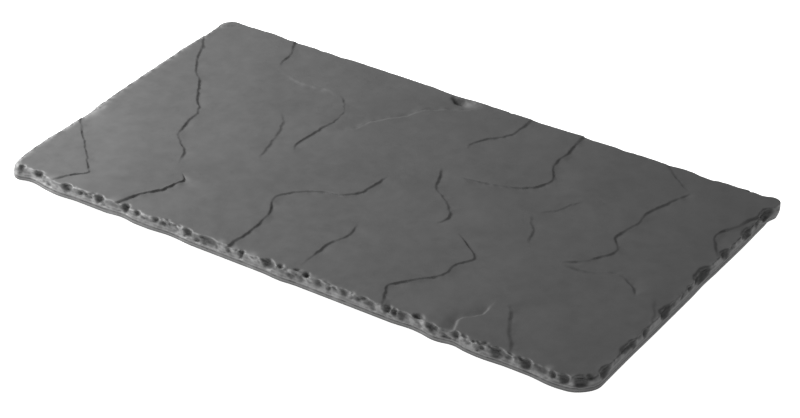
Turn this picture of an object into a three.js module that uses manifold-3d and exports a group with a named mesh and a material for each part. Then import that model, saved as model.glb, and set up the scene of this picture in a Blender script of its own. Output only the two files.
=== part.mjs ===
// Rectangular steak plate: a slate-effect slab with a cleft top face and a chipped rim, on four stick-on
// feet. Millimetres, +Z up. The origin lies on the table under the middle of the plate, +X runs along its
// length, and the front edge is the one on the -Y side.
import * as THREE from 'three';
import { mergeVertices } from 'three/addons/utils/BufferGeometryUtils.js';
import Module from 'manifold-3d';

const wasm = await Module();
wasm.setup();

// Driving dimensions of the slab
const plateLength = 300;
const plateWidth = 160;
const slabThickness = 7;
const frontLeftRadius = 6; // corners seen from above
const frontRightRadius = 10;
const backRightRadius = 5;
const backLeftRadius = 7;
const lowerRounding = 1.2; // radius of the lower edge
const stripHeight = 3; // top of the smooth strip round the rim, above the underside
const bevelInset = 1; // how far the dressed upper rim leans in

// Driving dimensions of the feet
const footRadius = 6;
const footHeight = 1;
const footRounding = 0.4; // radius of the foot's lower edge
const footInset = 26; // from the plate's edges to a foot's centre
const adhesiveThickness = 0.2;
const adhesiveMargin = 0.6; // how far the adhesive disc stays inside the foot's edge

// Fineness of the facets
const rimStep = 4;
const cleftStep = 5;
const roundingSteps = 3;
const footSides = 40;
const chipDetail = 1;

// Bulges and hollows of the outline: the place along the edge, how far the rim swells out and the reach
const frontSwells = [
  [-148.5, 0.9, 8], [-138, -1.2, 9], [-122, 0.8, 11], [-87, -1, 9], [-60, -0.9, 13], [-1, 0.6, 9],
  [65, -0.7, 10], [77, 0.7, 7], [86, -0.6, 6], [99, 0.7, 13], [133, 1, 12],
];
const rightSwells = [[-78, -0.7, 9], [-50, -0.2, 25], [14, -0.3, 12], [45, 0.2, 20]];
const backSwells = [
  [150.5, 3, 8], [136, 0.7, 7], [127, 0.4, 6], [104, 0.7, 9], [114, -0.6, 7], [74, -0.6, 6], [51, 0.4, 7],
  [-18, -0.7, 12], [-83, -0.6, 11], [-112, -0.6, 6], [-122, 0.4, 7],
];
const leftSwells = [[15, 0.7, 62], [46, 0.5, 8], [-26, -0.4, 9], [-58, 0.9, 22]];

// Clefts in the top face. Along the points, which run so that the ground drops on their left, the face steps
// down by depth over the width of the wall, and the low side climbs back to the face over the run.
// Over its fade a cleft dies out, and an end with no fade runs out past the rim.
const wallWidth = 0.9;
const cleftLift = 1; // how far a cleft's cutter stands above the top face
const cleftClear = 0.04; // how far its spent edges stay above the face
const clefts = [
  {
    depth: 0.7, run: 30, fadeIn: 0, fadeOut: 16,
    points: [[-156, 67], [-148, 57], [-140, 43], [-133.5, 32.5], [-125.5, 25], [-117.5, 13], [-108, 2],
      [-105.5, -13], [-101.5, -21], [-92, -28.5], [-86, -42]],
  },
  {
    depth: 0.9, run: 24, fadeIn: 8, fadeOut: 0,
    points: [[-82, -43], [-76.5, -48.5], [-78, -53], [-85, -66.5], [-90.5, -78], [-94, -87]],
  },
  {
    depth: 0.7, run: 22, fadeIn: 0, fadeOut: 0,
    points: [[-157, -24], [-148, -34], [-132, -50], [-118, -64], [-116.5, -66], [-121, -71], [-125, -78],
      [-131, -87]],
  },
  {
    depth: 0.6, run: 22, fadeIn: 0, fadeOut: 10,
    points: [[-113, 87], [-108, 76], [-103, 67], [-102.5, 59], [-99, 53]],
  },
  {
    depth: 0.3, run: 16, fadeIn: 14, fadeOut: 10,
    points: [[-59, 49], [-67, 51], [-81, 49], [-99, 53]],
  },
  {
    depth: 0.6, run: 24, fadeIn: 8, fadeOut: 14,
    points: [[-62, 49.5], [-56, 44.5], [-52, 38], [-51.5, 29], [-52.5, 13], [-53, 5], [-50, -7]],
  },
  {
    depth: 0.45, run: 18, fadeIn: 12, fadeOut: 12,
    points: [[-76, 23], [-68, 12], [-63.5, -2], [-59.5, -14.5], [-56, -21]],
  },
  {
    depth: 0.6, run: 24, fadeIn: 10, fadeOut: 10,
    points: [[-48, 19], [-37, 28], [-35, 35], [-25, 49.5], [-20, 58], [-4, 69.5], [3, 75]],
  },
  {
    depth: 0.8, run: 30, fadeIn: 6, fadeOut: 0,
    points: [[-3.5, 4], [-4.3, -6], [-6, -13], [-11, -19], [-20, -22], [-29, -28], [-35, -37.5], [-30, -47],
      [-28, -65], [-29, -78], [-30, -89]],
  },
  {
    depth: 0.6, run: 22, fadeIn: 8, fadeOut: 6,
    points: [[11, 23], [16, 14.5], [20, 6.5], [29.5, 0], [34, -4.5], [37, -11], [35.5, -18]],
  },
  {
    depth: 0.55, run: 22, fadeIn: 0, fadeOut: 8,
    points: [[26, 91], [24.5, 77], [23, 62], [15, 52], [12.5, 47], [14, 41]],
  },
  {
    depth: 0.65, run: 24, fadeIn: 0, fadeOut: 12,
    points: [[51, 91], [51.5, 79], [53, 61], [53, 52], [58.7, 39], [57.5, 35], [44, 25], [36, 23], [21, 20]],
  },
  {
    depth: 0.5, run: 18, fadeIn: 6, fadeOut: 10,
    points: [[65, 12], [69, 7], [72.5, 2], [75, -4], [78.5, -11]],
  },
  {
    depth: 0.35, run: 16, fadeIn: 8, fadeOut: 10,
    points: [[67, 13], [73.5, 22.5], [76, 28.5], [80, 35]],
  },
  {
    depth: 0.35, run: 18, fadeIn: 0, fadeOut: 8,
    points: [[91, 89], [97, 77], [107.5, 68], [114, 63]],
  },
  {
    depth: 0.65, run: 26, fadeIn: 6, fadeOut: 12,
    points: [[115, 65], [111, 55], [107, 38], [107.7, 30], [104.3, 17], [110.3, 8], [106, -1.5], [95, -13]],
  },
  {
    depth: 0.4, run: 16, fadeIn: 14, fadeOut: 6,
    points: [[97, -14.5], [108, -14], [121, -8], [130, -13], [135, -19]],
  },
  {
    depth: 0.35, run: 14, fadeIn: 8, fadeOut: 0,
    points: [[140, -13], [145, -22], [149, -31], [157, -45]],
  },
  {
    depth: 0.7, run: 16, fadeIn: 0, fadeOut: 6,
    points: [[152, 91], [150, 77], [145, 54], [140, 40], [142, 35.5], [148.5, 26]],
  },
  {
    depth: 0.55, run: 18, fadeIn: 0, fadeOut: 8,
    points: [[87, -89], [85.5, -78], [84.5, -68], [88, -64], [89, -49]],
  },
  {
    depth: 0.6, run: 20, fadeIn: 6, fadeOut: 0,
    points: [[92, -49], [98.5, -58], [103, -65], [111, -78], [117, -89]],
  },
  {
    depth: 0.8, run: 28, fadeIn: 10, fadeOut: 0,
    points: [[46, -17], [55, -22.5], [63, -30], [60, -37], [59.5, -45], [49, -59], [45, -65], [50, -78],
      [54, -89]],
  },
  {
    depth: 0.5, run: 20, fadeIn: 10, fadeOut: 0,
    points: [[7, -33], [9, -43], [6, -56], [5.5, -68], [7, -78], [8, -89]],
  },
];

// Chips knocked out of the upper rim: the place along the edge, the width along the rim, the bite into the
// top face and the drop down the side
const frontChips = [
  [-146, 6, 1.8, 2.6], [-134.5, 9, 2.4, 3.2], [-127.5, 5, 1.6, 2.6], [-117, 7, 2.2, 3.2], [-109, 6, 1.6, 2.6],
  [-99.5, 7.5, 2.4, 3.4], [-85.5, 7, 2.8, 3.8], [-77, 6, 2, 3], [-69, 5, 1.6, 2.6], [-62, 6, 1.6, 3],
  [-51, 8, 2.4, 3.4], [-39, 9, 2.6, 3.8], [-32, 5, 1.6, 3], [-20.5, 7, 2.4, 3.6], [-7.5, 12, 3, 4],
  [2.5, 5, 1.8, 2.4], [11.5, 6, 2.4, 3.2], [19, 6, 1.8, 3], [26, 6, 2, 3], [32.5, 6, 2, 3], [41, 7, 2.2, 3.2],
  [53, 8, 2.8, 4], [61, 8, 2.8, 3.8], [67.5, 5, 2.2, 2.8], [75.5, 9, 2.4, 3.6], [86.5, 6, 2.2, 3],
  [94, 5, 1.8, 2.6], [100, 7, 2.2, 3.4], [107.5, 7, 2.4, 3.6], [113.8, 6, 2.2, 3.4], [120.5, 7, 2.8, 3.8],
  [129, 8, 2.4, 3.4], [134.8, 4.5, 2, 3], [139.5, 5.5, 2.4, 3.4], [146, 8, 3, 4],
];
const rightChips = [
  [-74, 6, 2.4, 3.6], [-64.5, 8, 2.6, 3.8], [-47.5, 16, 3.4, 4.2], [-36.5, 7, 2, 3.2], [-24.5, 4.5, 1.6, 3],
  [-17, 11, 2.8, 4], [2.5, 5, 1.8, 3], [15.5, 15, 4, 4.4], [34.5, 9, 3, 4], [42.5, 5, 1.8, 3],
  [52, 7, 2.4, 3.6], [59, 6, 2, 3.2], [70, 10, 3, 4],
];
const backChips = [
  [139, 7, 0.9, 2.8], [129, 5, 0.6, 2.2], [116, 7, 0.8, 2.6], [106, 5, 0.7, 2.4], [93, 8, 0.8, 2.6],
  [77, 6, 0.8, 2.6], [66, 5, 0.6, 2.2], [55, 6, 0.8, 2.6], [44, 5, 0.7, 2.4], [29, 7, 0.8, 2.6],
  [16, 6, 0.7, 2.4], [4, 6, 0.8, 2.6], [-11, 9, 0.8, 2.4], [-25, 6, 0.8, 2.6], [-38, 6, 0.7, 2.4],
  [-51, 7, 0.8, 2.6], [-65, 6, 0.7, 2.4], [-79, 5, 0.6, 2.2], [-93, 9, 1, 2.8], [-106, 7, 0.9, 2.8],
  [-126, 6, 0.8, 2.6], [-138, 7, 0.9, 2.8],
];
const leftChips = [
  [73, 6, 0.8, 2.6], [63, 7, 0.9, 2.8], [48, 6, 0.8, 2.6], [37, 5, 0.6, 2.2], [23, 7, 0.9, 2.8],
  [9, 6, 0.7, 2.4], [-5, 8, 0.9, 2.8], [-18, 5, 0.7, 2.4], [-32, 7, 0.8, 2.6], [-46, 6, 0.8, 2.6],
  [-59, 8, 1, 3],
];
// Pits in the top face near the back edge: the place along the edge, how far in from it, the length along the
// plate, the width across it and the depth
const backPits = [[-12, 5, 10, 6, 1.3]];
const chipTwist = 0.35; // most that a chip is turned about the upright, in radians
const scatterStep = 0.618; // share of the full spread from one chip's turn to the next

// Materials
const slateFinish = { color: 0x57585a, roughness: 0.6, metalness: 0 };
const siliconeFinish = { color: 0x26272a, roughness: 0.7, metalness: 0 };
const adhesiveFinish = { color: 0xd9d6cc, roughness: 0.5, metalness: 0 };

// Levels above the table
const slabBase = footHeight + adhesiveThickness;
const topFace = slabThickness;

// The rim seen from above, walked anticlockwise from the left end of the front edge: each side is a straight
// and the corner at its end
const rimSides = [
  { length: plateLength, from: frontLeftRadius, radius: frontRightRadius },
  { length: plateWidth, from: frontRightRadius, radius: backRightRadius },
  { length: plateLength, from: backRightRadius, radius: backLeftRadius },
  { length: plateWidth, from: backLeftRadius, radius: frontLeftRadius },
].map(({ length, from, radius }, turns) => ({
  heading: turns * Math.PI / 2,
  straight: length - from - radius,
  radius,
}));
const sideLength = ({ straight, radius }) => straight + radius * Math.PI / 2;
const sideStart = (side) => rimSides.slice(0, side).reduce((sum, each) => sum + sideLength(each), 0);
const rimLength = sideStart(rimSides.length);

// Distances along the rim of places on the four edges
const onFront = (x) => sideStart(0) + plateLength / 2 + x - frontLeftRadius;
const onRight = (y) => sideStart(1) + plateWidth / 2 + y - frontRightRadius;
const onBack = (x) => sideStart(2) + plateLength / 2 - x - backRightRadius;
const onLeft = (y) => sideStart(3) + plateWidth / 2 - y - backLeftRadius;

// The point of the rim at a distance along it, and the direction out of the plate there
function rimAt(along) {
  let rest = THREE.MathUtils.euclideanModulo(along, rimLength);
  const point = new THREE.Vector2(frontLeftRadius - plateLength / 2, -plateWidth / 2);
  const out = new THREE.Vector2();
  for (const { heading, straight, radius } of rimSides) {
    const ahead = new THREE.Vector2(Math.cos(heading), Math.sin(heading));
    const left = new THREE.Vector2(-ahead.y, ahead.x);
    const turned = THREE.MathUtils.clamp((rest - straight) / radius, 0, Math.PI / 2);
    point.addScaledVector(ahead, Math.min(rest, straight) + radius * Math.sin(turned));
    point.addScaledVector(left, radius * (1 - Math.cos(turned)));
    out.set(Math.sin(heading + turned), -Math.cos(heading + turned));
    rest -= straight + radius * Math.PI / 2;
    if (rest <= 0) {
      break;
    }
  }
  return { point, out };
}

// Swells of all four edges, each with its distance along the rim
const rimSwells = [[frontSwells, onFront], [rightSwells, onRight], [backSwells, onBack], [leftSwells, onLeft]]
  .flatMap(([rows, onEdge]) => rows.map(([place, swell, reach]) => [onEdge(place), swell, reach]));

// How far the rim stands out of its nominal line
function swellAt(along) {
  const share = (place, reach) => {
    const away = THREE.MathUtils.euclideanModulo(along - place + rimLength / 2, rimLength) - rimLength / 2;
    return (1 + Math.cos(Math.PI * THREE.MathUtils.clamp(away / reach, -1, 1))) / 2;
  };
  return rimSwells.reduce((sum, [place, swell, reach]) => sum + swell * share(place, reach), 0);
}

function rimRing(inset, height) {
  const count = Math.round(rimLength / rimStep);
  return Array.from({ length: count }, (_, i) => {
    const along = i * rimLength / count;
    const { point, out } = rimAt(along);
    const place = point.addScaledVector(out, swellAt(along) - inset);
    return new THREE.Vector3(place.x, place.y, height);
  });
}

// A closed body through rings of equally many points, which run anticlockwise about the way the rings follow
function loft(rings, capOutline) {
  const count = rings[0].length;
  const positions = rings.flat().flatMap((point) => point.toArray());
  const faces = [];
  for (let ring = 0; ring < rings.length - 1; ring++) {
    for (let i = 0; i < count; i++) {
      const next = (i + 1) % count;
      const low = ring * count;
      const high = low + count;
      faces.push(low + i, low + next, high + next, low + i, high + next, high + i);
    }
  }
  const last = (rings.length - 1) * count;
  for (const [a, b, c] of THREE.ShapeUtils.triangulateShape(capOutline, [])) {
    faces.push(c, b, a, last + a, last + b, last + c);
  }
  const geometry = new THREE.BufferGeometry();
  geometry.setAttribute('position', new THREE.Float32BufferAttribute(positions, 3));
  geometry.setIndex(faces);
  return geometry;
}

function solidFrom(geometry) {
  const bare = new THREE.BufferGeometry();
  bare.setAttribute('position', geometry.getAttribute('position'));
  bare.setIndex(geometry.index);
  const merged = mergeVertices(bare);
  const vertProperties = new Float32Array(merged.getAttribute('position').array);
  const triVerts = new Uint32Array(merged.index.array);
  return new wasm.Manifold(new wasm.Mesh({ numProp: 3, vertProperties, triVerts }));
}

function geometryFrom(solid) {
  const { vertProperties, triVerts } = solid.getMesh();
  const geometry = new THREE.BufferGeometry();
  geometry.setAttribute('position', new THREE.BufferAttribute(new Float32Array(vertProperties), 3));
  geometry.setIndex(new THREE.BufferAttribute(new Uint32Array(triVerts), 1));
  geometry.computeVertexNormals();
  return geometry;
}

// The slab before it is cleft and chipped: rounded lower edge, smooth strip and leaning upper rim
function slabBlank() {
  const rings = [];
  for (let step = 0; step <= roundingSteps; step++) {
    const turn = step / roundingSteps * Math.PI / 2;
    rings.push(rimRing(lowerRounding * (1 - Math.sin(turn)), lowerRounding * (1 - Math.cos(turn))));
  }
  rings.push(rimRing(0, stripHeight), rimRing(bevelInset, topFace));
  const capOutline = rings[0].map((point) => new THREE.Vector2(point.x, point.y));
  return solidFrom(loft(rings, capOutline));
}

// The wedge that a cleft takes off the top face
function cleftCutter({ depth, run, fadeIn, fadeOut, points }) {
  const line = new THREE.CatmullRomCurve3(points.map(([x, y]) => new THREE.Vector3(x, y, 0)));
  const length = line.getLength();
  const steps = Math.ceil(length / cleftStep);
  const chord = points.at(-1).map((value, axis) => value - points[0][axis]);
  const fall = new THREE.Vector2(-chord[1], chord[0]).normalize();
  const share = (distance, fade) => (fade > 0 ? THREE.MathUtils.smoothstep(distance, 0, fade) : 1);
  const section = (toe) => [
    new THREE.Vector2(0, cleftClear),
    new THREE.Vector2(wallWidth, toe),
    new THREE.Vector2(run, cleftClear),
    new THREE.Vector2(run, cleftLift),
    new THREE.Vector2(0, cleftLift),
  ];
  const rings = line.getSpacedPoints(steps).map((place, step) => {
    const along = step / steps * length;
    const strength = share(along, fadeIn) * share(length - along, fadeOut);
    const toe = cleftClear - (depth + cleftClear) * strength;
    return section(toe).map((corner) => new THREE.Vector3(
      place.x + fall.x * corner.x,
      place.y + fall.y * corner.x,
      topFace + corner.y,
    ));
  });
  return solidFrom(loft(rings, section(-depth)));
}

// The scoop of a chip: an ellipsoid centred half a bite out and half a drop up from the upper edge, so that
// it meets the top face one bite in, the side one drop down and the edge over the chip's width
const scoopReach = Math.sqrt(2.5);
const scoopLength = Math.sqrt(1.25) / 2;
function chipCutter(along, width, bite, drop, turn) {
  const { point, out } = rimAt(along);
  const place = point.addScaledVector(out, bite / 2 - bevelInset + swellAt(along));
  const scoop = new THREE.IcosahedronGeometry(1, chipDetail);
  scoop.scale(width * scoopLength, bite * scoopReach, drop * scoopReach);
  scoop.rotateZ(Math.atan2(out.y, out.x) + Math.PI / 2 + turn);
  scoop.translate(place.x, place.y, topFace + drop / 2);
  return solidFrom(scoop);
}

// The shallow scoop of a pit: an ellipsoid centred as far above the top face as the pit is deep, so that it
// opens there over the pit's length and width
const pitSpread = 1 / Math.sqrt(3);
function pitCutter([x, setback, length, width, depth]) {
  const scoop = new THREE.IcosahedronGeometry(1, chipDetail);
  scoop.scale(length * pitSpread, width * pitSpread, 2 * depth);
  scoop.translate(x, plateWidth / 2 - setback, topFace + depth);
  return solidFrom(scoop);
}

// A steady scatter between -1 and 1 for the chip of a given number
const scatter = (number) => 2 * THREE.MathUtils.euclideanModulo(number * scatterStep, 1) - 1;

function slabGeometry() {
  const edges = [[frontChips, onFront], [rightChips, onRight], [backChips, onBack], [leftChips, onLeft]];
  const chips = edges.flatMap(([rows, onEdge]) => rows.map(([place, ...sizes]) => [onEdge(place), ...sizes]));
  let slab = slabBlank();
  for (const cleft of clefts) {
    slab = slab.subtract(cleftCutter(cleft));
  }
  chips.forEach(([along, width, bite, drop], number) => {
    slab = slab.subtract(chipCutter(along, width, bite, drop, chipTwist * scatter(number)));
  });
  for (const pit of backPits) {
    slab = slab.subtract(pitCutter(pit));
  }
  return geometryFrom(slab);
}

function footGeometry() {
  const profile = [new THREE.Vector2(0, 0)];
  for (let step = 0; step <= roundingSteps; step++) {
    const turn = step / roundingSteps * Math.PI / 2;
    profile.push(new THREE.Vector2(
      footRadius - footRounding * (1 - Math.sin(turn)),
      footRounding * (1 - Math.cos(turn)),
    ));
  }
  profile.push(new THREE.Vector2(footRadius, footHeight), new THREE.Vector2(0, footHeight));
  return new THREE.LatheGeometry(profile, footSides).rotateX(Math.PI / 2);
}

function adhesiveGeometry() {
  const radius = footRadius - adhesiveMargin;
  const profile = [[0, 0], [radius, 0], [radius, adhesiveThickness], [0, adhesiveThickness]];
  const outline = profile.map(([across, up]) => new THREE.Vector2(across, up));
  return new THREE.LatheGeometry(outline, footSides).rotateX(Math.PI / 2);
}

function piece(name, geometry, finish, x, y, z) {
  const mesh = new THREE.Mesh(geometry, new THREE.MeshStandardMaterial(finish));
  mesh.name = name;
  mesh.position.set(x, y, z);
  return mesh;
}

const plate = new THREE.Group();
plate.add(piece('slab', slabGeometry(), slateFinish, 0, 0, slabBase));
const footX = plateLength / 2 - footInset;
const footY = plateWidth / 2 - footInset;
for (const [edge, y] of [['front', -footY], ['back', footY]]) {
  for (const [end, x] of [['left', -footX], ['right', footX]]) {
    plate.add(piece(`foot_${edge}_${end}`, footGeometry(), siliconeFinish, x, y, 0));
    plate.add(piece(`adhesive_${edge}_${end}`, adhesiveGeometry(), adhesiveFinish, x, y, footHeight));
  }
}

export default plate;
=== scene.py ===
import math

import bmesh
import bpy
import numpy as np
from mathutils import Matrix, Vector, geometry, noise


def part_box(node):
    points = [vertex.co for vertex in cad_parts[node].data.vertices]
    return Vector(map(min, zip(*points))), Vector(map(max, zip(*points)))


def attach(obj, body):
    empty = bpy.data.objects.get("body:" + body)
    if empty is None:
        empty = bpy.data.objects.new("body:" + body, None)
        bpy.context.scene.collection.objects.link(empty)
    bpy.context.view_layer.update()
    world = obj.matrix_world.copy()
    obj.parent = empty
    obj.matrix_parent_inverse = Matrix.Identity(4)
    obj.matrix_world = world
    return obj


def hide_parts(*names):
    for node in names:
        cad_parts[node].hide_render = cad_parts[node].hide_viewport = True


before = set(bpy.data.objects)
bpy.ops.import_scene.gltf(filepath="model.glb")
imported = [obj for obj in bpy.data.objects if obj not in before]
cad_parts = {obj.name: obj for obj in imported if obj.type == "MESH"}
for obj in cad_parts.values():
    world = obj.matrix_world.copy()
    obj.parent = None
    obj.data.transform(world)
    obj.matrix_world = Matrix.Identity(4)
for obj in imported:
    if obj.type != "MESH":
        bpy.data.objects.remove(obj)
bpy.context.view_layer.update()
mm = 0.001
scene = bpy.context.scene
print("frame loaded:", len(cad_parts), "solids")

# The camera stands where the photograph was taken from
photoCamera = {
    "imageWidth": 800,  # pixels
    "focalLength": 2604.8,  # pixels
    "sensorWidth": 36,  # millimetres
    "azimuth": 34.786,  # degrees round to the right from the front
    "elevation": 32.973,
    "roll": -0.911,
    "distance": 1.14146,  # metres
    "target": (0.008, -0.003, -0.0018),
    "clipStart": 0.01,
}


def placeCamera(settings):
    turns = ((settings["azimuth"], "Z"), (90 - settings["elevation"], "X"), (settings["roll"], "Z"))
    stand = Matrix.Translation(settings["target"])
    for angle, axis in turns:
        stand = stand @ Matrix.Rotation(math.radians(angle), 4, axis)
    data = bpy.data.cameras.new("photoCamera")
    data.sensor_fit = "HORIZONTAL"
    data.sensor_width = settings["sensorWidth"]
    data.lens = settings["focalLength"] * settings["sensorWidth"] / settings["imageWidth"]
    data.clip_start = settings["clipStart"]
    camera = bpy.data.objects.new("photoCamera", data)
    camera.matrix_world = stand @ Matrix.Translation((0, 0, settings["distance"]))
    scene.collection.objects.link(camera)
    scene.camera = camera


placeCamera(photoCamera)
print("camera placed")


# A socket that can stand in Python expressions, each of which adds its Math node
class Wire:
    def __init__(self, board, node, socket):
        self.board = board
        self.node = node
        self.socket = socket

    def out(self, name):
        socket = next(each for each in self.node.outputs if each.enabled and each.name == name)
        return Wire(self.board, self.node, socket)

    def math(self, operation, first, second=0):
        return self.board.add("Math", {0: first, 1: second}, operation=operation)

    def __add__(self, other):
        return self.math("ADD", self, other)

    def __radd__(self, other):
        return self.math("ADD", other, self)

    def __sub__(self, other):
        return self.math("SUBTRACT", self, other)

    def __rsub__(self, other):
        return self.math("SUBTRACT", other, self)

    def __mul__(self, other):
        return self.math("MULTIPLY", self, other)

    def __rmul__(self, other):
        return self.math("MULTIPLY", other, self)

    def held(self):  # kept between 0 and 1
        return self.math("MINIMUM", self.math("MAXIMUM", self, 0), 1)

    def swing(self):  # a noise about its middle
        return self - 0.5


# The nodes of one material or one Geometry Nodes tree
class Board:
    def __init__(self, tree):
        self.tree = tree
        tree.nodes.clear()

    def add(self, kind, inputs=None, **settings):
        node = self.tree.nodes.new(kind if "Node" in kind else "ShaderNode" + kind)
        for name, value in settings.items():
            setattr(node, name, value)
        for key, value in (inputs or {}).items():
            if isinstance(key, int):
                socket = node.inputs[key]
            else:
                socket = next(each for each in node.inputs if each.enabled and each.name == key)
            if isinstance(value, Wire):
                self.tree.links.new(value.socket, socket)
            else:
                socket.default_value = value
        shown = [each for each in node.outputs if each.enabled]
        return Wire(self, node, shown[0] if shown else None)

    def place(self):
        return self.add("TexCoord").out("Object")

    def layer(self, title):
        return self.add("Attribute", attribute_name=title).out("Fac")

    def noise(self, place, scale, detail, roughness, **more):
        values = {"Vector": place, "Scale": scale, "Detail": detail, "Roughness": roughness, **more}
        return self.add("TexNoise", values, noise_dimensions="4D" if more else "3D")

    def mix(self, share, first, second):
        return self.add("Mix", {"Factor": share, "A": first, "B": second}, data_type="RGBA")


def grey(value, warmth=0):
    return (value * (1 + warmth), value, value * (1 - warmth), 1)


def newFinish(name):
    material = bpy.data.materials.new(name)
    material.use_nodes = True
    return material, Board(material.node_tree)


def closeFinish(board, look, relief, **sockets):
    names = {key.replace("_", " "): value for key, value in sockets.items()}
    strength, depth = look["bump"]
    normal = board.add("Bump", {"Strength": strength, "Distance": depth, "Height": relief})
    shader = board.add("BsdfPrincipled", {**names, "Normal": normal})
    board.add("OutputMaterial", {"Surface": shader})


# Fired slate-effect ware, with painted shade in the chips, clefts, creases and lower edge, and paler edges
# that are partly glaze breaking over them and partly painted light. A noise has its scale per metre, detail
# and roughness, and a bump its strength and its depth in metres.
slateLook = {
    # hollowGrey is the painted shade; arrisGrey the paler edges, partly worn glaze and partly painted
    # highlight
    "darkGrey": 0.062, "paleGrey": 0.107, "hollowGrey": 0.036, "arrisGrey": 0.26,
    "mottle": (34, 3, 0.6), "cloud": (190, 3, 0.55), "grain": (1500, 3, 0.6),
    "patchShares": (0.55, 0.6, 0.3),  # of these three in the body's grey
    "patchStart": 0.22,
    "arrisShare": 0.12,  # how strongly the bend of the surface shows
    "arrisCloud": (0.7, 0.6),  # least of that, and how much more the clouds give
    "hollowShare": 0.85,  # how strongly the painted shade of chips, clefts and rim zones shows
    "hollowWear": 0.2,  # how much the bend takes off it
    "lowerLine": 0.0026,  # height below which the rim gets painted contact shadow, in metres
    "lowerEdge": 2500,  # how sharply that sets in
    "lowerShare": 0.9,
    "roughness": (0.52, 0.16, 0.1, 0.36),  # of the body, and what clouds, grain and chips add
    "shine": 0.38, "bump": (0.32, 0.00006), "bumpCloud": 1.5,
}


def slateFinish(look):
    material, board = newFinish("slateFinish")
    place = board.place()
    height = board.add("SeparateXYZ", {"Vector": place}).out("Z")
    mottle, cloud, grain = (board.noise(place, *look[title]) for title in ("mottle", "cloud", "grain"))
    wearAndShading, brow, chipped = (board.layer(title) for title in ("arrisWearAndShading", "brow", "chipped"))
    mottleShare, cloudShare, grainShare = look["patchShares"]
    patches = ((mottle * mottleShare + cloud * cloudShare + grain * grainShare) - look["patchStart"]).held()
    body = board.mix(patches, grey(look["darkGrey"]), grey(look["paleGrey"]))
    # painted contact shadow on the underside and the lowest band of the rim
    contactShade = ((look["lowerLine"] - height) * look["lowerEdge"]).held()
    # painted shade of chips, clefts, rim zones, creases and the lower edge
    shadeShare = (chipped * look["hollowShare"] - wearAndShading * look["hollowWear"] + contactShade * look["lowerShare"]).held()
    least, more = look["arrisCloud"]
    # paler edges: partly worn glaze, partly painted highlight, with the painted light of the rim
    paleWearAndLight = (wearAndShading * look["arrisShare"] * (least + cloud * more) * (1.0 - chipped).held() + brow).held()
    sunk = board.mix(shadeShare, body, grey(look["hollowGrey"]))
    colour = board.mix(paleWearAndLight, sunk, grey(look["arrisGrey"]))
    even, clouds, grains, chips = look["roughness"]
    rough = even + cloud.swing() * clouds + grain.swing() * grains + chipped.held() * chips
    relief = grain + cloud * look["bumpCloud"]
    closeFinish(board, look, relief, Base_Color=colour, Roughness=rough, Specular_IOR_Level=look["shine"])
    return material


slatePaint = slateFinish(slateLook)

# Moulded silicone of the feet
siliconeLook = {
    "darkGrey": 0.014, "paleGrey": 0.026, "warmth": -0.02,
    "bloom": (210, 4, 0.6), "stipple": (2800, 2, 0.5),
    "roughness": 0.62, "bloomRoughness": 0.25, "bump": (0.3, 0.00003),
}


def siliconeFinish(look):
    material, board = newFinish("siliconeFinish")
    place = board.place()
    bloom, stipple = (board.noise(place, *look[title]) for title in ("bloom", "stipple"))
    dark, pale = (grey(look[title], look["warmth"]) for title in ("darkGrey", "paleGrey"))
    rough = look["roughness"] + bloom.swing() * look["bloomRoughness"]
    closeFinish(board, look, stipple, Base_Color=board.mix(bloom, dark, pale), Roughness=rough)
    return material


siliconePaint = siliconeFinish(siliconeLook)

# Off-white double-sided tape of the adhesive discs
tapeLook = {
    "cream": (0.62, 0.59, 0.52, 1), "pale": (0.74, 0.72, 0.66, 1),
    "weaveScale": 2600, "weaveShare": 0.5, "stain": (260, 3, 0.6), "stainShare": 0.6,
    "roughness": 0.6, "stainRoughness": 0.2, "bump": (0.4, 0.00005),
}


def tapeFinish(look):
    material, board = newFinish("tapeFinish")
    place = board.place()
    weave = board.add("TexVoronoi", {"Vector": place, "Scale": look["weaveScale"]})
    fibre = weave.out("Distance")
    stain = board.noise(place, *look["stain"])
    shade = (stain * look["stainShare"] + fibre * look["weaveShare"]).held()
    rough = look["roughness"] + stain.swing() * look["stainRoughness"]
    closeFinish(board, look, fibre, Base_Color=board.mix(shade, look["cream"], look["pale"]), Roughness=rough)
    return material


tapePaint = tapeFinish(tapeLook)
print("finishes ready")


def newTree(name, **sockets):
    tree = bpy.data.node_groups.new(name, "GeometryNodeTree")
    for title, kind in {"geometry": "Geometry", **sockets, "finish": "Material"}.items():
        tree.interface.new_socket(title, in_out="INPUT", socket_type="NodeSocket" + kind)
    tree.interface.new_socket("geometry", in_out="OUTPUT", socket_type="NodeSocketGeometry")
    board = Board(tree)
    return tree, board, board.add("NodeGroupInput")


def closeTree(board, shape, given):
    plain = board.add("GeometryNodeRealizeInstances", {"Geometry": shape})
    painted = board.add("GeometryNodeSetMaterial", {"Geometry": plain, "Material": given.out("finish")})
    board.add("NodeGroupOutput", {"geometry": painted})


# Runs a tree on a piece and leaves its result as a plain mesh
def runTree(piece, tree, values):
    modifier = piece.modifiers.new(tree.name, "NODES")
    modifier.node_group = tree
    for item in tree.interface.items_tree:
        if item.name in values:
            modifier[item.identifier] = values[item.name]
    graph = bpy.context.evaluated_depsgraph_get()
    made = bpy.data.meshes.new_from_object(piece.evaluated_get(graph), depsgraph=graph)
    piece.modifiers.clear()
    piece.data = made


def newPiece(name, mesh):
    piece = bpy.data.objects.new(name, mesh)
    scene.collection.objects.link(piece)
    return piece


def newMesh(name, points, faces=()):
    mesh = bpy.data.meshes.new(name)
    mesh.from_pydata([tuple(point) for point in points], [], faces)
    return mesh


def addLayer(mesh, title, values):
    layer = mesh.attributes.new(title, "FLOAT", "POINT")
    layer.data.foreach_set("value", np.asarray(values, np.float32))


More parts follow.
